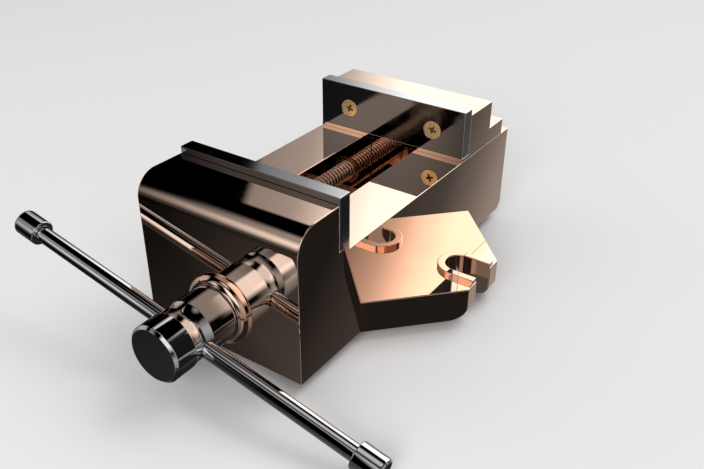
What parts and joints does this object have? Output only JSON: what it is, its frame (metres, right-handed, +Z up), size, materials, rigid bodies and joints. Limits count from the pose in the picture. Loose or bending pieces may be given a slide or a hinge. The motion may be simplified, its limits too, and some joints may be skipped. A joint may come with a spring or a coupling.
{
  "type": "bench vise",
  "caption": "Bench vise with its front jaw cast in one with a slotted base, and a rear jaw drawn along flat ways by a lead screw turned with a sliding tommy bar.",
  "frame": {"origin": "on the bench face under the base, midway between the two mounting slots", "axes": "+Z up, +Y along the lead screw from the front jaw and its handle towards the sliding rear jaw, +X to the right seen from the handle"},
  "size_m": [0.2278, 0.263, 0.0934],
  "materials": {
    "casting": "mirror polished, with a warm copper tint",
    "jaw_plate": "fine ground, neutral grey",
    "bright_chrome": "polished chrome",
    "screw_brass": "bright brass",
    "bearing_bronze": "turned bearing bronze",
    "machined_steel": "turned steel",
    "dark_steel": "blackened steel"
  },
  "bodies": {
    "base": {"base_casting": "casting", "front_jaw_plate": "jaw_plate", "front_plate_screw_left": "screw_brass", "front_plate_screw_right": "screw_brass", "spindle_bush": "casting", "tail_bush": "bearing_bronze"},
    "rear_jaw": {"sliding_jaw": "casting", "rear_jaw_plate": "jaw_plate", "rear_plate_screw_left": "screw_brass", "rear_plate_screw_right": "screw_brass", "lead_nut": "bearing_bronze", "nut_screw_left": "dark_steel", "nut_screw_right": "dark_steel", "keeper_plate": "machined_steel", "keeper_screw_1": "dark_steel", "keeper_screw_2": "dark_steel", "keeper_screw_3": "dark_steel", "keeper_screw_4": "dark_steel"},
    "spindle": {"spindle_head": "bright_chrome", "lead_screw": "machined_steel", "head_pin": "dark_steel", "thrust_washer": "bearing_bronze", "retaining_collar": "machined_steel", "collar_grub_screw": "dark_steel"},
    "tommy_bar": {"handle_bar": "bright_chrome", "handle_cap_left": "bright_chrome", "handle_cap_right": "bright_chrome"}
  },
  "joints": [
    {"name": "jaw_slide", "type": "slide", "parent": "base", "child": "rear_jaw", "axis": [0, -1, 0], "range_m": [-0.004, 0.114]},
    {"name": "spindle_turn", "type": "hinge", "parent": "base", "child": "spindle", "pos_m": [0, -0.11, 0.025], "axis": [0, 1, 0], "range_deg": [-480.5, 13680.5]},
    {"name": "bar_slide", "type": "slide", "parent": "spindle", "child": "tommy_bar", "axis": [0.9774, 0, -0.2113], "range_m": [-0.085, 0.085]}
  ],
  "couplings": [
    {"joint": "spindle_turn", "follows": "jaw_slide", "rad_per_m": 2094.4}
  ]
}
